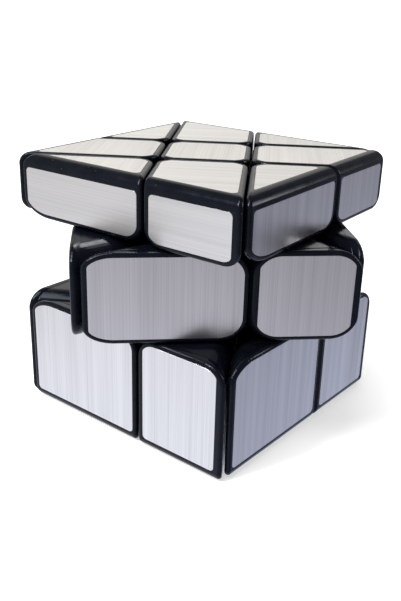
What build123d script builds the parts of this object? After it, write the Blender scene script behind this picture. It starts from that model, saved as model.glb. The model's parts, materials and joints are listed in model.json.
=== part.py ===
from build123d import *
from math import acos, cos, degrees, radians, sin, sqrt, tan
import os

os.makedirs("parts", exist_ok=True)

# A twisty cube with three layers of unequal height and four slanted upright cuts ("windmill" cut).
# Millimetres, +Z up. The origin is on the resting plane, on the upright axis through the core.

# ---- driving dimensions ----
cube_width = 57.0  # side of the square that each layer shows from above
slice_width = 19.0  # width of the middle slice, the same along all three turning axes
bottom_height = 25.0  # bottom layer
top_height = 13.0  # top layer
middle_turn = 45.0  # how far the middle layer is turned from the bottom one, degrees
top_turn = 2.6  # how far the top layer is turned from the bottom one, degrees

# moulded pieces
gap = 0.3  # running gap between neighbouring pieces
wall = 1.5  # wall of the hollow shells and caps
well_radius = 3.5  # rounding of the upright edges where two cuts cross
rim_radius = 1.0  # rounding of all other outer edges
tip_radius = 1.2  # rounding of the sharp upright edges in plan

# mechanism
foot_overlap = 3.5  # how far a foot reaches sideways under its neighbours
foot_thickness = 4.3  # height of the spherical race that the feet run in
foot_neck = 2.3  # how far the race reaches beyond the point where three cuts meet
stem_height = 3.7  # from the race to the seam between a foot piece and its shell
plug_depth = 2.0  # how far a foot's plug reaches into its shell
hub_web = 0.5  # thinnest plastic between the race and a centre cap

# tension screws and their springs
screw_radius = 1.25
screw_running_gap = 0.05  # radial, between a hub's bore and its screw
screw_depth = 6.0  # thread length inside the core's arm
head_radius = 2.5
head_height = 1.6
head_rounding = 0.4
drive_length = 3.0  # cross recess in the head
drive_width = 0.75
drive_depth = 0.8
washer_radius = 2.9
washer_thickness = 0.5
washer_bore_gap = 0.1
spring_wire = 0.6
spring_radius = 2.2  # to the middle of the wire
spring_turns = 4.5
spring_length = 5.0  # between the wire's ends, as fitted
spring_seat_gap = 0.1  # under and over the spring
pocket_gap = 0.4  # radial, between the washer and the hub's pocket
shelf_thickness = 2.0  # hub floor that the spring presses on
pocket_wall = 1.6  # around the pocket, in the hub's round stem

# core
arm_radius = 3.4
arm_length = 7.3
core_ball_radius = 5.2

# foil stickers
sticker_thickness = 0.2
sticker_radius = 2.4  # corners of the side stickers
sticker_cut_margin = 1.3  # from an upright cut to a sticker
sticker_layer_margin = 1.2  # from a layer cut to a sticker
sticker_wide_tip_margin = 3.35  # from a wide sticker to the cube's upright corner
sticker_narrow_tip_margin = 2.3  # from a narrow sticker to the cube's upright corner
sticker_top_margin = 2.9  # from the top plane to a side sticker
sticker_base_margin = 2.2  # from the resting plane to a side sticker
sticker_face_margin = 1.5  # around the stickers of the top and the underside

# ---- sizes that follow ----
half_width = cube_width / 2
half_slice = slice_width / 2
half_gap = gap / 2
core_height = bottom_height + half_slice
# each upright cut runs through one corner of the square, so the slice width sets the slant
cut_slant = degrees(acos(slice_width / (cube_width * sqrt(2)))) - 45
wide_face = cube_width * tan(radians(cut_slant))  # outer side of a corner block
narrow_face = cube_width - wide_face  # outer side of an edge block

cut_out = half_slice + half_gap  # inner side of the outer pieces
cut_in = half_slice - half_gap  # outer side of the middle slice
foot_cut = half_slice - foot_overlap  # half width of the middle slice inside the race
foot_out = foot_cut + half_gap
foot_in = foot_cut - half_gap
top_plane = half_slice + top_height
base_plane = -half_slice - bottom_height
# radii about the core's centre
race_outer = half_slice * sqrt(3) + foot_neck
race_inner = race_outer - foot_thickness
seam_radius = race_outer + stem_height
seat = race_outer + half_gap + hub_web  # height over the core's centre where a centre cap sits
hub_base = arm_length + gap
shelf_top = hub_base + shelf_thickness
washer_base = shelf_top + 2 * spring_seat_gap + spring_length + spring_wire
head_base = washer_base + washer_thickness
pocket_radius = washer_radius + pocket_gap
stem_radius = pocket_radius + pocket_wall
reach = 2 * cube_width  # larger than any piece, for cutting away whole regions

# the ranges that blocks and feet take up along an axis across the upright cuts
outward = (cut_out, reach)
across = (-cut_in, cut_in)
foot_outward = (foot_out, reach)
foot_across = (-foot_in, foot_in)

core_axes = [Vector(0, 0, 1), Vector(0, 0, -1)] + [
    Vector(1, 0, 0).rotate(Axis.Z, 90 * side) for side in range(4)
]


def layer_plane(turn, number=0):
    """The plane at the core's centre whose X and Y run across a layer's upright cuts."""
    angle = radians(turn + cut_slant + 90 * number)
    return Plane(origin=(0, 0, core_height), x_dir=(cos(angle), sin(angle), 0), z_dir=(0, 0, 1))


def side_plane(face_turn, along):
    """A plane on an outer side of the square: X along the side, Y up, Z outwards."""
    facing = radians(face_turn - cut_slant)
    outward = Vector(cos(facing), sin(facing), 0)
    sideways = Vector(-sin(facing), cos(facing), 0)
    return Plane(origin=outward * half_width + sideways * along, x_dir=sideways, z_dir=outward)


def placed(shape, name, turn, number=0):
    """Puts a finished piece in its place in the cube and writes it."""
    with BuildPart(layer_plane(turn, number)) as piece:
        add(shape)
    piece.part.label = name
    export_step(piece.part, f"parts/{name}.step")


def cell_outline(x_range, y_range, inset=0.0):
    """Plan of a block: the square cut by the block's own cuts, rounded, and drawn in by an inset."""
    Rectangle(cube_width, cube_width, rotation=-cut_slant)
    middle = ((x_range[0] + x_range[1]) / 2, (y_range[0] + y_range[1]) / 2)
    with Locations(middle):
        Rectangle(x_range[1] - x_range[0], y_range[1] - y_range[0], mode=Mode.INTERSECT)
    corners = vertices()
    crossings = [corner for corner in corners if Vector(corner).length < slice_width]
    fillet(crossings, well_radius)
    tips = [corner for corner in corners if Vector(corner).length >= slice_width]
    if tips:
        fillet(tips, tip_radius)
    if inset:
        offset(amount=-inset, mode=Mode.REPLACE)


def rounded_block(x_range, y_range, z_range):
    """The full outer shape of a block, before it is hollowed."""
    with BuildPart() as block:
        with BuildSketch(Plane.XY.offset(z_range[0])):
            cell_outline(x_range, y_range)
        extrude(amount=z_range[1] - z_range[0])
        fillet(faces().sort_by(Axis.Z)[-1].edges(), rim_radius)
        fillet(faces().sort_by(Axis.Z)[0].edges(), rim_radius)
    return block.part


def hollow(x_range, y_range, z_range):
    """The space inside a block's walls."""
    with BuildPart() as space:
        with BuildSketch(Plane.XY.offset(z_range[0] + wall)):
            cell_outline(x_range, y_range, wall)
        extrude(amount=z_range[1] - z_range[0] - 2 * wall)
    return space.part


def side_sticker(wide, z_range):
    """Foil on a block's outer side, flush with the plastic."""
    if wide:
        low = sticker_wide_tip_margin
        high = wide_face - sticker_cut_margin
        face_turn = 90
    else:
        low = wide_face + sticker_cut_margin
        high = cube_width - sticker_narrow_tip_margin
        face_turn = 0
    bottom_margin = sticker_base_margin if z_range[0] == base_plane else sticker_layer_margin - half_gap
    top_margin = sticker_top_margin if z_range[1] == top_plane else sticker_layer_margin - half_gap
    low_z = z_range[0] + bottom_margin
    high_z = z_range[1] - top_margin
    with BuildPart() as sticker:
        with BuildSketch(side_plane(face_turn, (low + high) / 2 - half_width)):
            with Locations((0, (low_z + high_z) / 2)):
                RectangleRounded(high - low, high_z - low_z, sticker_radius)
        extrude(amount=-sticker_thickness)
    return sticker.part


def face_sticker(x_range, y_range, z_range):
    """Foil on a block's top or underside, flush with the plastic."""
    on_top = z_range[1] == top_plane
    height = top_plane if on_top else base_plane
    with BuildPart() as sticker:
        with BuildSketch(Plane.XY.offset(height)):
            cell_outline(x_range, y_range, sticker_face_margin)
        extrude(amount=-sticker_thickness if on_top else sticker_thickness)
    return sticker.part


def shell_piece(block, space, stickers):
    """The outer, hollow half of a corner or edge block, open towards its foot."""
    with BuildPart() as shell:
        add(block)
        Sphere(seam_radius, mode=Mode.SUBTRACT)
        add(space, mode=Mode.SUBTRACT)
        for sticker in stickers:
            add(sticker, mode=Mode.SUBTRACT)
    return shell.part


def foot_piece(block, space, foot_ranges):
    """The inner half: a foot in the spherical race, a stem up to the seam, and a plug for the shell."""
    low = Vector(*(axis_range[0] for axis_range in foot_ranges))
    high = Vector(*(axis_range[1] for axis_range in foot_ranges))
    size = high - low
    with BuildPart() as neck:
        add(block)
        with Locations((low + high) / 2):
            Box(size.X, size.Y, size.Z, mode=Mode.INTERSECT)
        Sphere(seam_radius, mode=Mode.INTERSECT)
    with BuildPart() as plug:
        add(space)
        Sphere(seam_radius + plug_depth, mode=Mode.INTERSECT)
        Sphere(race_outer + half_gap, mode=Mode.SUBTRACT)
    with BuildPart() as stem:
        add(block)
        Sphere(seam_radius, mode=Mode.INTERSECT)
        Sphere(race_outer + half_gap, mode=Mode.SUBTRACT)
    with BuildPart() as foot:
        with Locations((low + high) / 2):
            Box(size.X, size.Y, size.Z)
        Sphere(race_outer - half_gap, mode=Mode.INTERSECT)
        add(neck.part)
        add(stem.part)
        add(plug.part)
        Sphere(race_inner + half_gap, mode=Mode.SUBTRACT)
    return foot.part


def centre_hub():
    """The piece under a centre cap. It turns on its screw and traps the feet beside it."""
    column_base = race_inner - wall
    with BuildPart() as stem:
        with BuildSketch(Plane.XY.offset(hub_base)):
            Circle(stem_radius)
        extrude(amount=race_inner - hub_base)
        Sphere(race_inner, mode=Mode.INTERSECT)
    with BuildPart() as hub:
        with BuildSketch(Plane.XY.offset(cut_out)):
            Rectangle(2 * cut_in, 2 * cut_in)
            fillet(vertices(), well_radius)
        extrude(amount=seat - cut_out)
        Sphere(race_outer + half_gap, mode=Mode.SUBTRACT)
        with BuildSketch(Plane.XY.offset(column_base)):
            Rectangle(2 * foot_in, 2 * foot_in)
        extrude(amount=seat - column_base)
        add(stem.part)
        with BuildSketch(Plane.XY.offset(shelf_top)):
            Circle(pocket_radius)
        extrude(amount=seat - shelf_top, mode=Mode.SUBTRACT)
        with BuildSketch(Plane.XY.offset(hub_base)):
            Circle(screw_radius + screw_running_gap)
        extrude(amount=shelf_thickness, mode=Mode.SUBTRACT)
    return hub.part


def centre_cap(block, space, stickers, seat_plane):
    """The hollow cap of a centre block, cut off at its seat on the hub."""
    with BuildPart() as cap:
        add(block)
        add(space, mode=Mode.SUBTRACT)
        for sticker in stickers:
            add(sticker, mode=Mode.SUBTRACT)
        split(bisect_by=seat_plane, keep=Keep.TOP)
    return cap.part


def core_piece():
    """The six-armed spider, with a blind screw hole in each arm."""
    with BuildPart() as core:
        Sphere(core_ball_radius)
        for axis in core_axes:
            with BuildSketch(Plane(origin=(0, 0, 0), z_dir=axis)):
                Circle(arm_radius)
            extrude(amount=arm_length)
        for axis in core_axes:
            with BuildSketch(Plane(origin=axis * (arm_length - screw_depth), z_dir=axis)):
                Circle(screw_radius)
            extrude(amount=screw_depth, mode=Mode.SUBTRACT)
    return core.part


def screw_shape():
    """A tension screw along +Z: shank in the core's arm, head over the washer."""
    with BuildPart() as screw:
        with BuildSketch(Plane.XY.offset(arm_length - screw_depth)):
            Circle(screw_radius)
        extrude(amount=head_base - arm_length + screw_depth)
        with BuildSketch(Plane.XY.offset(head_base)):
            Circle(head_radius)
        extrude(amount=head_height)
        fillet(faces().sort_by(Axis.Z)[-1].edges(), head_rounding)
        with BuildSketch(Plane.XY.offset(head_base + head_height)):
            Rectangle(drive_length, drive_width)
            Rectangle(drive_width, drive_length)
        extrude(amount=-drive_depth, mode=Mode.SUBTRACT)
    return screw.part


def washer_shape():
    with BuildPart() as washer:
        with BuildSketch(Plane.XY.offset(washer_base)):
            Circle(washer_radius)
            Circle(screw_radius + washer_bore_gap, mode=Mode.SUBTRACT)
        extrude(amount=washer_thickness)
    return washer.part


def spring_shape():
    with BuildPart() as spring:
        coil_base = shelf_top + spring_seat_gap + spring_wire / 2
        with BuildLine() as coil:
            Helix(spring_length / spring_turns, spring_length, spring_radius, center=(0, 0, coil_base))
        with BuildSketch(Plane(origin=coil.line @ 0, z_dir=coil.line % 0)):
            Circle(spring_wire / 2)
        sweep(path=coil.line, is_frenet=True)
    return spring.part


def six_of(shape, name):
    """One copy of a piece on each arm of the core."""
    with BuildPart() as copies:
        for axis in core_axes:
            with Locations(Plane(origin=(0, 0, 0), z_dir=axis)):
                add(shape)
    placed(copies.part, name, middle_turn)


def build_stickers(stickers, name, turn, middle_sticker=None):
    """All the foil of one layer: what each quarter holds, four times, and the middle one."""
    with BuildPart() as foil:
        with PolarLocations(0, 4):
            for sticker in stickers:
                add(sticker)
        if middle_sticker is not None:
            add(middle_sticker)
    placed(foil.part, name, turn)


def build_outer_layer(prefix, turn, upward, z_range, foot_z):
    """The top or the bottom layer: four corners, four edges, a centre and their foil."""
    foil = []
    kinds = (
        ("corner", outward, True, foot_outward),
        ("edge", across, False, foot_across),
    )
    for kind, y_range, wide, foot_y in kinds:
        block = rounded_block(outward, y_range, z_range)
        space = hollow(outward, y_range, z_range)
        stickers = [side_sticker(wide, z_range), face_sticker(outward, y_range, z_range)]
        foil += stickers
        shell = shell_piece(block, space, stickers)
        foot = foot_piece(block, space, (foot_outward, foot_y, foot_z))
        for number in range(4):
            placed(shell, f"{prefix}_{kind}_shell_{number + 1}", turn, number)
            placed(foot, f"{prefix}_{kind}_foot_{number + 1}", turn, number)

    centre_sticker = face_sticker(across, across, z_range)
    seat_plane = Plane(origin=(0, 0, upward * seat), z_dir=(0, 0, upward))
    cap_block = rounded_block(across, across, z_range)
    cap = centre_cap(cap_block, hollow(across, across, z_range), [centre_sticker], seat_plane)
    placed(cap, f"{prefix}_centre_cap", turn)
    with BuildPart(Plane(origin=(0, 0, 0), z_dir=(0, 0, upward))) as hub:
        add(centre_hub())
    placed(hub.part, f"{prefix}_centre_hub", turn)
    build_stickers(foil, f"{prefix}_stickers", turn, centre_sticker)


def build_middle_layer():
    """The middle layer: four edges and the four side centres, with their foil."""
    edge_block = rounded_block(outward, outward, across)
    edge_space = hollow(outward, outward, across)
    edge_sticker = side_sticker(True, across)
    edge_shell = shell_piece(edge_block, edge_space, [edge_sticker])
    edge_foot = foot_piece(edge_block, edge_space, (foot_outward, foot_outward, foot_across))

    cap_sticker = side_sticker(False, across)
    seat_plane = Plane(origin=(seat, 0, 0), z_dir=(1, 0, 0))
    cap_block = rounded_block(outward, across, across)
    cap = centre_cap(cap_block, hollow(outward, across, across), [cap_sticker], seat_plane)
    with BuildPart(Plane(origin=(0, 0, 0), z_dir=(1, 0, 0))) as hub:
        add(centre_hub())

    for number in range(4):
        placed(edge_shell, f"middle_edge_shell_{number + 1}", middle_turn, number)
        placed(edge_foot, f"middle_edge_foot_{number + 1}", middle_turn, number)
        placed(cap, f"side_centre_cap_{number + 1}", middle_turn, number)
        placed(hub.part, f"side_centre_hub_{number + 1}", middle_turn, number)
    build_stickers([edge_sticker, cap_sticker], "middle_stickers", middle_turn)


placed(core_piece(), "core", middle_turn)
six_of(screw_shape(), "tension_screws")
six_of(washer_shape(), "washers")
six_of(spring_shape(), "springs")
build_middle_layer()
build_outer_layer("top", top_turn, 1, (cut_out, top_plane), foot_outward)
build_outer_layer("bottom", 0.0, -1, (base_plane, -cut_out), (-reach, -foot_out))
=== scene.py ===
import json
from math import acos, ceil, cos, pi, radians, sin, sqrt, tan

import bmesh
import bpy
import numpy as np
from mathutils import Matrix, Vector


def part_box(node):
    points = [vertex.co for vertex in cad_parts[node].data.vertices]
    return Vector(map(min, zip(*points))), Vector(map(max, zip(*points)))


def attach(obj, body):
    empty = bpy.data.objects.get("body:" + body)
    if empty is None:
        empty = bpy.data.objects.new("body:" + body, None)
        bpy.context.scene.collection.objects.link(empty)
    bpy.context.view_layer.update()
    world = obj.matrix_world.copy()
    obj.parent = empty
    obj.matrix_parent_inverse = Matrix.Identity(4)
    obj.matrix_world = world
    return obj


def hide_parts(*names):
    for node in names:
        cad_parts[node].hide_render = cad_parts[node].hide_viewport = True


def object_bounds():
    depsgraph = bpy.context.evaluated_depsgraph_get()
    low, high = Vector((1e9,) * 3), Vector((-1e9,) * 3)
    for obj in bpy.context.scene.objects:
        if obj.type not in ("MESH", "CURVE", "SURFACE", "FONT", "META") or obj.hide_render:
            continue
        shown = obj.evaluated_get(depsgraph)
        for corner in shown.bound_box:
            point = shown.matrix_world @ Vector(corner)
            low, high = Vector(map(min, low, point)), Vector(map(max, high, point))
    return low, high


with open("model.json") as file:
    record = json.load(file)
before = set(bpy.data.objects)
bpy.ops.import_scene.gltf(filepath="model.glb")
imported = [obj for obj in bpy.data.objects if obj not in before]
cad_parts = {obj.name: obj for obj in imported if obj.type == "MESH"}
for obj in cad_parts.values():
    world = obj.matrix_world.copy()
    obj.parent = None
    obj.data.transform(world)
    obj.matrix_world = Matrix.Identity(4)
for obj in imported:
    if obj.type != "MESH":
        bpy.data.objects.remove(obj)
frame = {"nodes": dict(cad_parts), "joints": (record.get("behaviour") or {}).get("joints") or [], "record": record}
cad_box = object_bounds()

# The looks of a twisty puzzle cube: glossy black blocks with brushed foil on their outer faces.
# Metres throughout. Each block is drawn about the core's centre, in axes that run across the
# upright cuts, and is then turned and lifted into its layer.

MM = 0.001
SAME = 0.0005 * MM  # points nearer than this are one point
ON_PLANE = 1e-10  # a point this near a plane lies on it
FAR = 0.2  # farther out than any block

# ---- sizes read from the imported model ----
half_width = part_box("bottom_stickers")[1][0]
core_height = frame["joints"][0]["pos_m"][2]
lower_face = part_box("bottom_corner_shell_1")[1][2]
upper_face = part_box("middle_edge_shell_1")[0][2]
gap = upper_face - lower_face
half_slice = core_height - (lower_face + upper_face) / 2
top_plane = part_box("top_stickers")[1][2] - core_height
base_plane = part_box("bottom_stickers")[0][2] - core_height
cap_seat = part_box("top_centre_cap")[0][2] - core_height

cut_out = half_slice + gap / 2
cut_in = half_slice - gap / 2
slant = acos(half_slice / (half_width * sqrt(2))) - pi / 4

# ---- the ball that hollows the blocks' inner sides ----
HOLLOW_RADIUS = 22.45 * MM

# ---- how far each layer is turned, as in the CAD model ----
TURNS = {"top": radians(2.6), "middle": radians(45.0), "bottom": 0.0}
BODIES = {"top": "top_layer", "middle": "core_and_middle_layer", "bottom": "bottom_layer"}

# ---- roundings ----
RIM = 0.7 * MM  # every outer edge that isn't listed here
WELL = 4.4 * MM  # upright edges where two cuts cross
FACE_RIM = 0.95 * MM  # the top and underside, to the upright cuts
TOP_EDGE = 2.5 * MM  # the top, to the sides
BASE_EDGE = 1.9 * MM  # the underside, to the sides
# an upright cut to the cut between layers: at the square's corner, and where two blocks share a side
TIP_LEVEL = {("corner", "top"): 4.0 * MM, ("corner", "middle"): 3.6 * MM, ("corner", "bottom"): 4.0 * MM,
             ("edge", "top"): 3.2 * MM, ("edge", "middle"): 5.0 * MM, ("edge", "bottom"): 4.0 * MM}
SHARED_LEVEL = {"top": 3.7 * MM, "middle": 5.0 * MM, "bottom": 4.0 * MM}
ARC_STEP = radians(7.5)  # largest step round an arc

# ---- seam between the two halves of a block, parallel to its side ----
SEAM_DEPTH = 2.0 * MM
SEAM_WIDTH = 0.24 * MM
SEAM_SUNK = 0.18 * MM
SEAM_STOP = 0.05  # the seam stops where a face looks this far to the top or underside, as a cosine

# ---- foil, and the shallow recess it lies in ----
LIP = 0.16 * MM  # flat rim round the recess, at its narrowest
FROM_TIP = {"corner": 3.2 * MM, "edge": 2.2 * MM}  # from the square's corner to the recess, along a side
FROM_SHARED = 1.15 * MM  # from the middle of the cut that two blocks share, along a side
LIP_EDGE = 0.05 * MM  # softened inner edge of that rim
RECESS = 0.16 * MM  # the recess's depth
# how far in, and how deep, each step of the recess's edge goes
RECESS_STEPS = ((LIP_EDGE * 0.3, LIP_EDGE * 0.1), (LIP_EDGE, LIP_EDGE), (LIP_EDGE, RECESS))
FOIL_GAP = 0.05 * MM  # between the recess's wall and the foil
FOIL = 0.12 * MM  # thickness
FOIL_EDGE = 0.012 * MM  # rounding of its cut edge
FOIL_CORNER = 1.0 * MM  # rounding of its corners
FOIL_TIP = 0.3 * MM  # rounding of its sharp tips
SHARP = radians(45)  # a corner up to this angle is a sharp tip
BLUNT = radians(165)  # a corner beyond this angle is left as it is
CORNER_SHARE = 0.45  # of the shorter side beside it, the most that a rounding takes up
CORNER_STEPS = 6
ROLL_STEP = radians(12)  # largest step round a corner that a disc rolls round
BRUSH_SHIFT = 0.1  # from one copy's brushing to the next, so that no two look alike

# ---- camera ----
CAMERA_AZIMUTH = radians(38.52)
CAMERA_ELEVATION = radians(22.42)
CAMERA_ROLL = radians(1.58)
CAMERA_DISTANCE = 178.8 * MM
CAMERA_SIDE = -0.55 * MM
CAMERA_LIFT = -5.75 * MM
LENS = 47.04

# ---- light ----
SUN_POWER = 1.7
SUN_ANGLE = radians(35)  # how broad the sun is
SUN_TILT = (radians(18), radians(-10), 0)
FLOOR_GLOW = 0.5  # the floor's emission strength
# name, azimuth and elevation in degrees, distance, width and height, watts, colour
LIGHTS = [
    ("over_the_top", 218, 30, 1.0, (1.0, 0.6), 1.32, (1.0, 0.95, 0.84)),
    ("window", -25, 48, 0.9, (0.22, 0.22), 6, (1.0, 1.0, 0.98)),
    ("right_behind", 142, 18, 0.9, (0.2, 0.3), 1.5, (1.0, 1.0, 1.0)),
    ("left_behind", -110, 20, 0.9, (0.2, 0.3), 0.4, (1.0, 1.0, 1.0)),
]
# the room's colour from its bright side to its dim side
DIM_SIDE = (0.927, 0.375, 0.0)
ROOM = [(0.0, (0.76, 0.755, 0.735)), (0.5, (0.58, 0.575, 0.58)), (0.73, (0.45, 0.44, 0.455)),
        (0.81, (0.28, 0.27, 0.28)), (0.88, (0.24, 0.245, 0.28)), (0.94, (0.19, 0.19, 0.215)),
        (1.0, (0.2, 0.2, 0.22))]
# and what it is multiplied by, from straight down to straight up
STRAIGHT_UP = (0.0, 0.0, 1.0)
ROOM_HEIGHT = [(0.0, (1.4, 1.45, 1.6)), (0.27, (1.36, 1.4, 1.56)), (0.29, (1.38, 1.42, 1.58)),
               (0.315, (1.19, 1.18, 1.26)), (0.36, (0.88, 0.85, 0.86)), (0.42, (0.72, 0.68, 0.68)),
               (0.5, (0.85, 0.85, 0.85)), (0.6, (0.8, 0.79, 0.78)), (0.75, (0.45, 0.45, 0.45)),
               (1.0, (0.3, 0.3, 0.3))]
# a cool patch low down behind the cube's right-hand side: where it is, how far it spreads, and its colour
COOL_SIDE = (-0.090, 0.861, -0.500)
COOL_SPREAD = 0.77  # cosine of the angle at which it has faded out
COOL = (0.26, 0.33, 0.48)

# ---- finishes ----
OUTER_ROUGHNESS = 0.13  # the glossiest parts of the outer plastic
INNER_ROUGHNESS = 0.35  # and of the plastic inside

# ---- floor, in metres ----
FLOOR_RADIUS = 1.6  # of its flat part
FLOOR_SWEEP = 0.9  # radius of the curve that it rises in
FLOOR_ARC = pi / 24  # from one ring of that curve to the next
FLOOR_RINGS = 11
FLOOR_SEGMENTS = 72


# ---------------------------------------------------------------- convex solids
def clipped(loop, normal, limit):
    """The part of a convex polygon that lies behind a plane."""
    kept = []
    for here, there in zip(loop, loop[1:] + loop[:1]):
        a = here @ normal - limit
        b = there @ normal - limit
        if a <= ON_PLANE:
            kept.append(here)
        if (a > ON_PLANE and b < -ON_PLANE) or (a < -ON_PLANE and b > ON_PLANE):
            kept.append(here + (there - here) * (a / (a - b)))
    return kept


def axes_across(normal):
    """Two unit vectors in a plane, the second one upright where the plane is."""
    up = np.array([0.0, 0.0, 1.0]) if abs(normal[2]) < 0.9 else np.array([0.0, 1.0, 0.0])
    sideways = np.cross(up, normal)
    sideways /= np.linalg.norm(sideways)
    return sideways, np.cross(normal, sideways)


def between(first, second, share):
    """A unit vector part of the way round from one unit vector to another."""
    angle = acos(max(-1.0, min(1.0, float(first @ second))))
    if angle < 1e-6:
        return first
    return (sin((1 - share) * angle) * first + sin(share * angle) * second) / sin(angle)


def rounded_planes(planes, roundings, radius):
    """The planes, each drawn in by a radius, and arcs of planes on the edges that are rounder than that."""
    core = [(normal, limit - radius) for normal, limit in planes]
    for first, second, edge_radius in roundings:
        (n1, d1), (n2, d2) = planes[first], planes[second]
        dot = float(n1 @ n2)
        a = ((d1 - edge_radius) - (d2 - edge_radius) * dot) / (1 - dot * dot)
        b = ((d2 - edge_radius) - (d1 - edge_radius) * dot) / (1 - dot * dot)
        middle = a * n1 + b * n2
        steps = ceil(acos(dot) / ARC_STEP)
        for step in range(1, steps):
            normal = between(n1, n2, step / steps)
            core.append((normal, float(middle @ normal) + edge_radius - radius))
    return core


def polygons(planes):
    """The corner loop of each plane's face on the convex solid that the planes enclose."""
    loops = []
    for index, (normal, limit) in enumerate(planes):
        u, v = axes_across(normal)
        middle = normal * limit
        loop = [middle + FAR * (a * u + b * v) for a, b in ((-1, -1), (1, -1), (1, 1), (-1, 1))]
        for other, (other_normal, other_limit) in enumerate(planes):
            if other != index and loop:
                loop = clipped(loop, other_normal, other_limit)
        loops.append(loop)
    return loops


def numbered(loops):
    """Loops of shared corner numbers, and the corners' places."""
    corners = []
    named = []
    for loop in loops:
        ids = []
        for point in loop:
            match = next((i for i, c in enumerate(corners) if np.abs(c - point).max() < SAME), None)
            if match is None:
                corners.append(point)
                match = len(corners) - 1
            if not ids or (ids[-1] != match and ids[0] != match):
                ids.append(match)
        named.append(ids if len(ids) > 2 else [])
    return corners, named


def drawn_in(loop, normal, margin):
    """A convex polygon with every side moved inwards. Sides that get too short are dropped."""
    inner = loop
    for here, there in zip(loop, loop[1:] + loop[:1]):
        outward = np.cross(there - here, normal)
        if np.linalg.norm(outward) > SAME:
            outward /= np.linalg.norm(outward)
            inner = clipped(inner, outward, float(here @ outward) - margin)
    return [point for i, point in enumerate(inner) if np.linalg.norm(point - inner[i - 1]) > SAME]


def nearest(point, loop):
    """The point of a polygon's border that is nearest to a given point."""
    found = []
    for here, there in zip(loop, loop[1:] + loop[:1]):
        side = there - here
        share = max(0.0, min(1.0, float((point - here) @ side / (side @ side))))
        found.append(here + share * side)
    return min(found, key=lambda candidate: np.linalg.norm(candidate - point))


def follow(loop, inner):
    """For each corner of a polygon, the nearest point of one drawn in from it."""
    return [nearest(point, inner) for point in loop]


def softened(loop, normal):
    """A convex polygon whose sharp corners are rounded."""
    points = []
    for before, here, after in zip(loop[-1:] + loop[:-1], loop, loop[1:] + loop[:1]):
        back, ahead = before - here, after - here
        room = min(np.linalg.norm(back), np.linalg.norm(ahead))
        back, ahead = back / np.linalg.norm(back), ahead / np.linalg.norm(ahead)
        angle = acos(max(-1.0, min(1.0, float(back @ ahead))))
        if angle > BLUNT:
            points.append(here)
            continue
        radius = FOIL_CORNER if angle > SHARP else FOIL_TIP
        cut = min(radius / tan(angle / 2), CORNER_SHARE * room)
        radius = cut * tan(angle / 2)
        middle = here + (back + ahead) / np.linalg.norm(back + ahead) * radius / sin(angle / 2)
        start, end = here + back * cut - middle, here + ahead * cut - middle
        points += [middle + radius * between(start / radius, end / radius, i / CORNER_STEPS)
                   for i in range(CORNER_STEPS + 1)]
    return points


def rolled(loop, normal):
    """What a disc as round as the foil's corners covers as it rolls inside a convex polygon."""
    inner = drawn_in(loop, normal, FOIL_CORNER)
    points = []
    for before, here, after in zip(inner[-1:] + inner[:-1], inner, inner[1:] + inner[:1]):
        first, second = np.cross(here - before, normal), np.cross(after - here, normal)
        first, second = first / np.linalg.norm(first), second / np.linalg.norm(second)
        steps = max(1, ceil(acos(min(1.0, float(first @ second))) / ROLL_STEP))
        points += [here + FOIL_CORNER * between(first, second, i / steps) for i in range(steps + 1)]
    return points


def rounded_solid(planes, radius, outlines):
    """The planes' solid, grown by a ball of the given radius, with recesses of the given outlines."""
    corners, loops = numbered(polygons(planes))
    bm = bmesh.new()
    made = {}

    def vertex(corner, normal):
        key = (corner, *np.round(normal, 5))
        if key not in made:
            made[key] = bm.verts.new(corners[corner] + radius * normal)
        return made[key]

    def face(verts):
        ring = [v for i, v in enumerate(verts) if v is not verts[i - 1]]
        if len(ring) > 2 and len(set(ring)) == len(ring):
            bm.faces.new(ring)

    normals = [plane[0] for plane in planes]
    side_of = {}
    for index, ids in enumerate(loops):
        for here, there in zip(ids, ids[1:] + ids[:1]):
            side_of[(here, there)] = index
        border = [vertex(corner, normals[index]) for corner in ids]
        if index in outlines:
            sink_recess(bm, border, outlines[index], normals[index])
        elif ids:
            face(border)

    def arc(first, second):
        angle = acos(max(-1.0, min(1.0, float(normals[first] @ normals[second]))))
        steps = max(1, ceil(angle / ARC_STEP - 0.01))
        low, high = min(first, second), max(first, second)
        points = [between(normals[low], normals[high], step / steps) for step in range(steps + 1)]
        return points if first == low else points[::-1]

    for (here, there), index in side_of.items():
        other = side_of[(there, here)]
        if index < other:
            points = arc(index, other)
            for near, far in zip(points, points[1:]):
                face([vertex(there, near), vertex(here, near), vertex(here, far), vertex(there, far)])

    following = {}
    for index, ids in enumerate(loops):
        for before, corner in zip(ids[-1:] + ids[:-1], ids):
            following[(corner, index)] = side_of.get((corner, before))
    for corner in range(len(corners)):
        start = next((index for (c, index) in following if c == corner), None)
        if start is None:
            continue
        ring = [start]
        while following[(corner, ring[-1])] != start:
            ring.append(following[(corner, ring[-1])])
        border = []
        for first, second in zip(ring, ring[1:] + ring[:1]):
            border += arc(first, second)[:-1]
        fill_patch(border, corner, vertex, face)
    bmesh.ops.remove_doubles(bm, verts=bm.verts, dist=SAME)
    # merging can leave slivers with an open edge, and the solid has to be closed for the boolean
    slivers = [f for f in bm.faces if any(e.is_boundary for e in f.edges)]
    bmesh.ops.delete(bm, geom=slivers, context="FACES")
    bmesh.ops.recalc_face_normals(bm, faces=bm.faces)
    return bm


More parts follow.
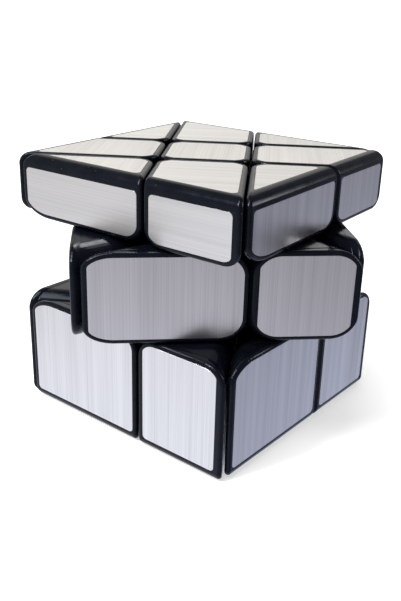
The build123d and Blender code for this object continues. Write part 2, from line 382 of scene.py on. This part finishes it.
def sink_recess(bm, border, outline, normal):
    """Fills a flat up to the recess's outline, and sinks the recess."""
    ring = [bm.verts.new(point) for point in outline]
    pairs = list(zip(border, border[1:] + border[:1])) + list(zip(ring, ring[1:] + ring[:1]))
    edges = [bm.edges.get(pair) or bm.edges.new(pair) for pair in pairs if pair[0] is not pair[1]]
    bmesh.ops.triangle_fill(bm, use_beauty=True, edges=edges, normal=normal)
    for margin, depth in RECESS_STEPS:
        inner_outline = follow(outline, drawn_in(outline, normal, margin))
        inner = [bm.verts.new(point - normal * depth) for point in inner_outline]
        for i in range(len(ring)):
            bm.faces.new([ring[i - 1], ring[i], inner[i], inner[i - 1]])
        ring = inner
    bm.faces.new(ring)


def cut_seam(bm, planes, order):
    """A fine groove round the cut sides of a block, parallel to its outer side."""
    outward, limit = planes[order.index("side")]
    face = planes[order.index("face")][0] if "face" in order else None
    for offset, sunk in ((-SEAM_WIDTH / 2, 0.0), (SEAM_WIDTH / 2, 0.0), (0.0, SEAM_SUNK)):
        chosen = [f for f in bm.faces if face is None or f.normal.dot(Vector(face)) < SEAM_STOP]
        edges = dict.fromkeys(e for f in chosen for e in f.edges)
        verts = dict.fromkeys(v for f in chosen for v in f.verts)
        parts = [*chosen, *edges, *verts]
        made = bmesh.ops.bisect_plane(bm, geom=parts, plane_co=outward * (limit - SEAM_DEPTH + offset),
                                      plane_no=outward)["geom_cut"]
        bm.normal_update()
        if sunk:
            line = [v for v in made if isinstance(v, bmesh.types.BMVert)]
            ways = [v.normal - Vector(outward) * v.normal.dot(Vector(outward)) for v in line]
            for v, way in zip(line, ways):
                if face is None or max(f.normal.dot(Vector(face)) for f in v.link_faces) < SEAM_STOP:
                    v.co -= way.normalized() * sunk


def fill_patch(border, corner, vertex, face):
    """A rounded corner: rings that close in on the middle of its border."""
    middle = sum(border)
    middle = middle / np.linalg.norm(middle)
    reach = max(acos(max(-1.0, min(1.0, float(middle @ normal)))) for normal in border)
    rings = ceil(reach / ARC_STEP)
    if len(border) <= 4 or rings < 2:
        face([vertex(corner, normal) for normal in border])
        return
    outer = border
    for ring in range(1, rings):
        inner = [between(normal, middle, ring / rings) for normal in border]
        for i in range(len(border)):
            face([vertex(corner, outer[i - 1]), vertex(corner, outer[i]),
                  vertex(corner, inner[i]), vertex(corner, inner[i - 1])])
        outer = inner
    for i in range(len(border)):
        face([vertex(corner, outer[i - 1]), vertex(corner, outer[i]), vertex(corner, middle)])


# ---------------------------------------------------------------- blocks and foil
def direction(angle):
    return np.array([cos(angle), sin(angle), 0.0])


UP = np.array([0.0, 0.0, 1.0])
WIDE_SIDE = direction(pi / 2 - slant)  # the square's side on a triangular block
NARROW_SIDE = direction(-slant)  # the square's side on a four-sided block
X = np.array([1.0, 0.0, 0.0])
Y = np.array([0.0, 1.0, 0.0])


def block_planes(kind, layer):
    """A block's planes by name."""
    outer = half_width
    plan = {
        "corner": {"cut_a": (-X, -cut_out), "cut_b": (-Y, -cut_out), "side": (WIDE_SIDE, outer)},
        "edge": {"cut_a": (-X, -cut_out), "cut_b": (Y, cut_in), "cut_c": (-Y, cut_in),
                 "side": (NARROW_SIDE, outer)},
        "centre": {"cut_a": (X, cut_in), "cut_b": (Y, cut_in),
                   "cut_c": (-X, cut_in), "cut_d": (-Y, cut_in)},
    }[kind]
    if layer == "top":
        plan |= {"layer_low": (-UP, -cut_out), "face": (UP, top_plane)}
    elif layer == "bottom":
        plan |= {"layer_high": (UP, -cut_out), "face": (-UP, -base_plane)}
    else:
        plan |= {"layer_low": (-UP, cut_in), "layer_high": (UP, cut_in)}
    if kind == "centre":
        level = "layer_low" if layer == "top" else "layer_high"
        plan[level] = (plan[level][0], -cap_seat)
    elif kind == "edge" and layer == "middle":
        plan["cut_a"] = (-X, -cap_seat)
    return plan


def block_roundings(kind, layer, names):
    """Which edges are rounder than the rim, and by how much."""
    cuts = [name for name in names if name.startswith("cut")]
    levels = [name for name in names if name.startswith("layer")]
    wells = {"corner": ["ab"], "edge": ["ab", "ac"], "centre": ["ab", "bc", "cd", "da"]}[kind]
    if kind == "edge" and layer == "middle":  # its inner side rests on a hub and keeps its plain edges
        cuts.remove("cut_a")
        wells = []
    found = [(f"cut_{first}", f"cut_{second}", WELL) for first, second in wells]
    if kind != "centre":
        found += [(cut, level, TIP_LEVEL[kind, layer] if cut == "cut_b" else SHARED_LEVEL[layer])
                  for cut in cuts for level in levels]
    if "face" in names:
        found += [("face", cut, FACE_RIM) for cut in cuts]
        if kind != "centre":
            found.append(("face", "side", TOP_EDGE if layer == "top" else BASE_EDGE))
    return found


def recess_outline(kind, flat, normal, on_side):
    """The outline of the recess in a flat. On a side it keeps clear of the upright cuts."""
    outline = drawn_in(flat, normal, LIP)
    if on_side:
        corner_to_cut = 2 * half_width * tan(slant)
        sideways = np.cross(UP, normal)
        if kind == "corner":
            low, high = FROM_TIP[kind], corner_to_cut - FROM_SHARED
        else:
            low, high = corner_to_cut + FROM_SHARED, 2 * half_width - FROM_TIP[kind]
        outline = clipped(outline, sideways, high - half_width)
        outline = clipped(outline, -sideways, half_width - low)
        return drawn_in(rolled(outline, normal), normal, 0)
    return drawn_in(softened(outline, normal), normal, 0)


def foil_mesh(recess, normal, brushed_along, seed):
    """A thin plate in its recess, with a softened cut edge. Its map runs with the brushing."""
    outline = follow(recess, drawn_in(recess, normal, LIP_EDGE + FOIL_GAP))
    crest = follow(outline, drawn_in(outline, normal, FOIL_EDGE))
    bm = bmesh.new()
    heights = ((outline, 0), (outline, FOIL - FOIL_EDGE), (crest, FOIL))
    rings = [[bm.verts.new(point + normal * (height - RECESS)) for point in loop] for loop, height in heights]
    for low, high in zip(rings, rings[1:]):
        for i in range(len(low)):
            bm.faces.new([low[i - 1], low[i], high[i], high[i - 1]])
    bm.faces.new(rings[-1])
    bm.faces.new(rings[0][::-1])
    bmesh.ops.remove_doubles(bm, verts=bm.verts, dist=SAME)
    layer = bm.loops.layers.uv.new("brush")
    across = np.cross(normal, brushed_along)
    for f in bm.faces:
        for corner in f.loops:
            place = np.array(corner.vert.co)
            corner[layer].uv = (float(place @ brushed_along) + seed, float(place @ across) + seed)
    return bm


def mesh_from(bm, name, smooth):
    mesh = bpy.data.meshes.new(name)
    bm.to_mesh(mesh)
    bm.free()
    for polygon in mesh.polygons:
        polygon.use_smooth = smooth
    return mesh


def hollowing_ball():
    """The ball that hollows the inner side of every block but the caps."""
    bm = bmesh.new()
    bmesh.ops.create_icosphere(bm, subdivisions=5, radius=HOLLOW_RADIUS)
    ball = bpy.data.objects.new("hollowing_ball", mesh_from(bm, "hollowing_ball", True))
    bpy.context.collection.objects.link(ball)
    return ball


def finished(mesh, cutter):
    """A block's mesh, hollowed by the cutter if it has one, with normals that keep its flats flat."""
    piece = bpy.data.objects.new("unfinished", mesh)
    bpy.context.collection.objects.link(piece)
    if cutter is not None:
        cut = piece.modifiers.new("hollow", "BOOLEAN")
        cut.operation = "DIFFERENCE"
        cut.solver = "EXACT"
        cut.object = cutter
    weighted = piece.modifiers.new("flats", "WEIGHTED_NORMAL")
    weighted.weight = 100
    made = bpy.data.meshes.new_from_object(piece.evaluated_get(bpy.context.evaluated_depsgraph_get()))
    bpy.data.objects.remove(piece)
    return made


def add_piece(mesh, name, layer, quarter, material, nodes):
    """Puts a copy of a mesh in its place in the cube and lets it ride with its layer."""
    place = Matrix.Translation((0, 0, core_height)) @ Matrix.Rotation(
        TURNS[layer] + slant + quarter * pi / 2, 4, "Z")
    copy = mesh.copy()
    copy.transform(place)
    copy.materials.clear()
    copy.materials.append(material)
    piece = bpy.data.objects.new(name, copy)
    bpy.context.collection.objects.link(piece)
    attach(piece, BODIES[layer])
    if nodes:
        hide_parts(*nodes)
    return piece


def build_block(kind, layer, names, cutter, plastic, foil):
    """All copies of one kind of block in one layer, with their foil."""
    plan = block_planes(kind, layer)
    order = list(plan)
    planes = list(plan.values())
    roundings = [(order.index(a), order.index(b), r) for a, b, r in block_roundings(kind, layer, order)]
    core = rounded_planes(planes, roundings, RIM)
    flats = polygons(core)
    outlines = {}
    for index in [order.index(name) for name in ("side", "face") if name in order]:
        normal = planes[index][0]
        flat = [point + normal * RIM for point in flats[index]]
        outlines[index] = recess_outline(kind, flat, normal, order[index] == "side")
    solid = rounded_solid(core, RIM, outlines)
    if kind != "centre":
        cut_seam(solid, planes, order)
    mesh = finished(mesh_from(solid, names[0], True), cutter)
    for quarter, name in enumerate(names):
        add_piece(mesh, name + "_body", layer, quarter, plastic, [name])
        for index, outline in outlines.items():
            normal = planes[index][0]
            sideways, upward = axes_across(normal)
            along = upward
            if order[index] == "side" and layer == "top" and (quarter + (kind == "edge")) % 2 == 0:
                along = sideways
            sheet = mesh_from(foil_mesh(outline, normal, along, BRUSH_SHIFT * (quarter + 1)), name, False)
            add_piece(sheet, f"{name}_{order[index]}_foil", layer, quarter, foil,
                      [f"{layer}_stickers"])


# ---------------------------------------------------------------- materials
def new_material(name):
    material = bpy.data.materials.new(name)
    material.use_nodes = True
    tree = material.node_tree
    tree.nodes.clear()
    shader = tree.nodes.new("ShaderNodeBsdfPrincipled")
    output = tree.nodes.new("ShaderNodeOutputMaterial")
    tree.links.new(shader.outputs["BSDF"], output.inputs["Surface"])
    return material, tree, shader


def noise_node(tree, vector, scale, detail, roughness=0.5):
    node = tree.nodes.new("ShaderNodeTexNoise")
    node.inputs["Scale"].default_value = scale
    node.inputs["Detail"].default_value = detail
    node.inputs["Roughness"].default_value = roughness
    tree.links.new(vector, node.inputs["Vector"])
    return node


def mapped(tree, value, low, high, to_low, to_high):
    """A value moved from one range to another."""
    node = tree.nodes.new("ShaderNodeMapRange")
    for socket, number in (("From Min", low), ("From Max", high), ("To Min", to_low), ("To Max", to_high)):
        node.inputs[socket].default_value = number
    tree.links.new(value, node.inputs["Value"])
    return node.outputs["Result"]


def stretched(tree, vector, scale):
    node = tree.nodes.new("ShaderNodeMapping")
    node.inputs["Scale"].default_value = scale
    tree.links.new(vector, node.inputs["Vector"])
    return node.outputs["Vector"]


def bump(tree, shader, height, distance, strength=1.0):
    node = tree.nodes.new("ShaderNodeBump")
    node.inputs["Distance"].default_value = distance
    node.inputs["Strength"].default_value = strength
    tree.links.new(height, node.inputs["Height"])
    tree.links.new(node.outputs["Normal"], shader.inputs["Normal"])


def coloured(tree, value, stops):
    ramp = tree.nodes.new("ShaderNodeValToRGB")
    ramp.color_ramp.elements[0].position = stops[0][0]
    ramp.color_ramp.elements[0].color = (*stops[0][1], 1)
    ramp.color_ramp.elements[1].position = stops[-1][0]
    ramp.color_ramp.elements[1].color = (*stops[-1][1], 1)
    for place, colour in stops[1:-1]:
        ramp.color_ramp.elements.new(place).color = (*colour, 1)
    tree.links.new(value, ramp.inputs["Fac"])
    return ramp.outputs["Color"]


def black_plastic(name, roughness):
    """Moulded black plastic with a blue cast, faint smears and a few specks of dust."""
    material, tree, shader = new_material(name)
    place = tree.nodes.new("ShaderNodeTexCoord").outputs["Object"]
    shader.inputs["IOR"].default_value = 1.27
    shader.inputs["Specular Tint"].default_value = (0.78, 0.88, 1.0, 1.0)
    smears = noise_node(tree, place, 140, 5, 0.6).outputs["Fac"]
    tree.links.new(mapped(tree, smears, 0.35, 0.7, roughness, roughness + 0.14), shader.inputs["Roughness"])
    dust = tree.nodes.new("ShaderNodeTexVoronoi")
    dust.inputs["Scale"].default_value = 420
    tree.links.new(place, dust.inputs["Vector"])
    colour = coloured(tree, dust.outputs["Distance"], [
        (0.0, (0.07, 0.075, 0.085)), (0.05, (0.02, 0.022, 0.03)), (0.065, (0.0025, 0.003, 0.006)),
        (1.0, (0.004, 0.005, 0.009))])
    tree.links.new(colour, shader.inputs["Base Color"])
    bump(tree, shader, noise_node(tree, place, 900, 3).outputs["Fac"], 0.006 * MM)
    return material


def brushed_foil():
    """Metallised film with fine scratches that all run one way, and broad soft streaks."""
    material, tree, shader = new_material("brushed_foil")
    place = tree.nodes.new("ShaderNodeUVMap")
    place.uv_map = "brush"
    shader.inputs["Metallic"].default_value = 1.0
    fine = noise_node(tree, stretched(tree, place.outputs["UV"], (18, 3800, 1)), 1, 4, 0.65).outputs["Fac"]
    broad = noise_node(tree, stretched(tree, place.outputs["UV"], (8, 520, 1)), 1, 3, 0.5).outputs["Fac"]
    both = tree.nodes.new("ShaderNodeMix")
    both.inputs["Factor"].default_value = 0.45
    tree.links.new(fine, both.inputs["A"])
    tree.links.new(broad, both.inputs["B"])
    streaks = both.outputs["Result"]
    colour = coloured(tree, streaks, [
        (0.30, (0.66, 0.66, 0.67)), (0.5, (0.81, 0.81, 0.82)), (0.7, (0.93, 0.93, 0.935))])
    tree.links.new(colour, shader.inputs["Base Color"])
    tree.links.new(mapped(tree, streaks, 0.3, 0.7, 0.40, 0.28), shader.inputs["Roughness"])
    shader.inputs["Anisotropic"].default_value = 0.6
    shader.inputs["Anisotropic Rotation"].default_value = 0.25
    along = tree.nodes.new("ShaderNodeTangent")
    along.direction_type = "UV_MAP"
    along.uv_map = "brush"
    tree.links.new(along.outputs["Tangent"], shader.inputs["Tangent"])
    bump(tree, shader, fine, 0.012 * MM, 0.6)
    return material


def steel():
    material, tree, shader = new_material("bright_steel")
    place = tree.nodes.new("ShaderNodeTexCoord").outputs["Object"]
    shader.inputs["Metallic"].default_value = 1.0
    grain = noise_node(tree, place, 1500, 4).outputs["Fac"]
    tree.links.new(coloured(tree, grain, [(0.3, (0.42, 0.42, 0.42)), (0.7, (0.62, 0.61, 0.6))]),
                   shader.inputs["Base Color"])
    tree.links.new(mapped(tree, grain, 0.3, 0.7, 0.25, 0.45), shader.inputs["Roughness"])
    bump(tree, shader, grain, 0.01 * MM)
    return material


def floor_material():
    material, tree, shader = new_material("pale_floor")
    place = tree.nodes.new("ShaderNodeTexCoord").outputs["Object"]
    mottle = noise_node(tree, place, 30, 3).outputs["Fac"]
    tree.links.new(coloured(tree, mottle, [(0.3, (0.84, 0.84, 0.845)), (0.7, (0.87, 0.87, 0.87))]),
                   shader.inputs["Base Color"])
    shader.inputs["Roughness"].default_value = 0.9
    shader.inputs["Emission Color"].default_value = (1.0, 1.0, 1.0, 1.0)
    shader.inputs["Emission Strength"].default_value = FLOOR_GLOW
    return material


# ---------------------------------------------------------------- stage
def add_floor():
    """A round floor whose rim sweeps up into a backdrop on every side."""
    bm = bmesh.new()
    profile = [(0.0, 0.0), (FLOOR_RADIUS, 0.0)]
    for ring in range(1, FLOOR_RINGS + 1):
        angle = ring * FLOOR_ARC
        profile.append((FLOOR_RADIUS + FLOOR_SWEEP * sin(angle), FLOOR_SWEEP * (1 - cos(angle))))
    verts = [bm.verts.new((x, 0.0, z)) for x, z in profile]
    edges = [bm.edges.new(pair) for pair in zip(verts, verts[1:])]
    bmesh.ops.spin(bm, geom=verts + edges, axis=(0, 0, 1), cent=(0, 0, 0), angle=2 * pi, steps=FLOOR_SEGMENTS)
    bmesh.ops.remove_doubles(bm, verts=bm.verts, dist=0.1 * MM)
    floor = bpy.data.objects.new("floor", mesh_from(bm, "floor", True))
    floor.data.materials.append(floor_material())
    bpy.context.collection.objects.link(floor)
    floor.visible_glossy = False


def add_camera():
    """The camera stands where the object is seen as in the photograph."""
    a, e = CAMERA_AZIMUTH, CAMERA_ELEVATION
    back = Vector((sin(a) * cos(e), -cos(a) * cos(e), sin(e)))
    right = Vector((cos(a), sin(a), 0))
    up = back.cross(right)
    low, high = cad_box
    middle = Vector((0, 0, (low[2] + high[2]) / 2))
    camera = bpy.data.objects.new("camera", bpy.data.cameras.new("camera"))
    camera.data.lens = LENS
    camera.data.clip_start = 0.01
    turned_right = cos(CAMERA_ROLL) * right + sin(CAMERA_ROLL) * up
    turned_up = cos(CAMERA_ROLL) * up - sin(CAMERA_ROLL) * right
    camera.matrix_world = Matrix.Translation(
        middle + back * CAMERA_DISTANCE + right * CAMERA_SIDE + up * CAMERA_LIFT
    ) @ Matrix((turned_right, turned_up, back)).transposed().to_4x4()
    bpy.context.collection.objects.link(camera)
    bpy.context.scene.camera = camera


def add_light(name, azimuth, elevation, distance, size, power, colour):
    """A soft oblong light that faces the cube."""
    light = bpy.data.lights.new(name, "AREA")
    light.shape = "RECTANGLE"
    light.size, light.size_y = size
    light.energy = power
    light.color = colour
    lamp = bpy.data.objects.new(name, light)
    a, e = radians(azimuth), radians(elevation)
    back = Vector((sin(a) * cos(e), -cos(a) * cos(e), sin(e)))
    lamp.matrix_world = Matrix.Translation(back * distance + Vector((0, 0, core_height))) @ \
        back.to_track_quat("Z", "Y").to_matrix().to_4x4()
    bpy.context.collection.objects.link(lamp)


def add_sun():
    """A broad sun lights the floor evenly, however far away it is."""
    light = bpy.data.lights.new("sun", "SUN")
    light.energy = SUN_POWER
    light.angle = SUN_ANGLE
    lamp = bpy.data.objects.new("sun", light)
    lamp.rotation_euler = SUN_TILT
    bpy.context.collection.objects.link(lamp)


def towards(tree, vector, way):
    """How far a vector points a given way, from -1 to 1."""
    node = tree.nodes.new("ShaderNodeVectorMath")
    node.operation = "DOT_PRODUCT"
    node.inputs[1].default_value = way
    tree.links.new(vector, node.inputs[0])
    return node.outputs["Value"]


def combined(tree, operation, first, second):
    node = tree.nodes.new("ShaderNodeVectorMath")
    node.operation = operation
    tree.links.new(first, node.inputs[0])
    tree.links.new(second, node.inputs[1])
    return node.outputs["Vector"]


def add_world():
    """A soft room: brightest low down and to the left, cooler to the right and towards the ground."""
    world = bpy.data.worlds.new("studio")
    world.use_nodes = True
    tree = world.node_tree
    facing = tree.nodes.new("ShaderNodeTexCoord").outputs["Generated"]
    shades = [coloured(tree, mapped(tree, towards(tree, facing, way), -1, 1, 0, 1), stops)
              for way, stops in ((DIM_SIDE, ROOM), (STRAIGHT_UP, ROOM_HEIGHT))]
    patch = coloured(tree, mapped(tree, towards(tree, facing, COOL_SIDE), COOL_SPREAD, 1, 0, 1),
                     [(0.0, (0, 0, 0)), (1.0, COOL)])
    room = combined(tree, "MULTIPLY", *shades)
    tree.links.new(combined(tree, "ADD", room, patch), tree.nodes["Background"].inputs["Color"])
    bpy.context.scene.world = world
    bpy.context.scene.view_settings.view_transform = "Standard"


# ---------------------------------------------------------------- the object
plastic = black_plastic("black_plastic", OUTER_ROUGHNESS)
inner_plastic = black_plastic("inner_plastic", INNER_ROUGHNESS)
foil = brushed_foil()
bright_steel = steel()

ball = hollowing_ball()
for layer in ("top", "middle", "bottom"):
    quarters = range(1, 5)
    if layer == "middle":
        build_block("corner", layer, [f"middle_edge_shell_{n}" for n in quarters], ball, plastic, foil)
        build_block("edge", layer, [f"side_centre_cap_{n}" for n in quarters], None, plastic, foil)
    else:
        build_block("corner", layer, [f"{layer}_corner_shell_{n}" for n in quarters], ball, plastic, foil)
        build_block("edge", layer, [f"{layer}_edge_shell_{n}" for n in quarters], ball, plastic, foil)
        build_block("centre", layer, [f"{layer}_centre_cap"], None, plastic, foil)
bpy.data.objects.remove(ball)

slots = {entry["node"]: entry["material_slot"] for entry in frame["record"]["subparts"]}
finishes = {"black_plastic": plastic, "inner_plastic": inner_plastic,
            "silver_foil": foil, "bright_steel": bright_steel}
for name, node in frame["nodes"].items():
    node.data.materials.clear()
    node.data.materials.append(finishes[slots[name]])

add_floor()
add_camera()
add_world()
add_sun()
for light in LIGHTS:
    add_light(*light)
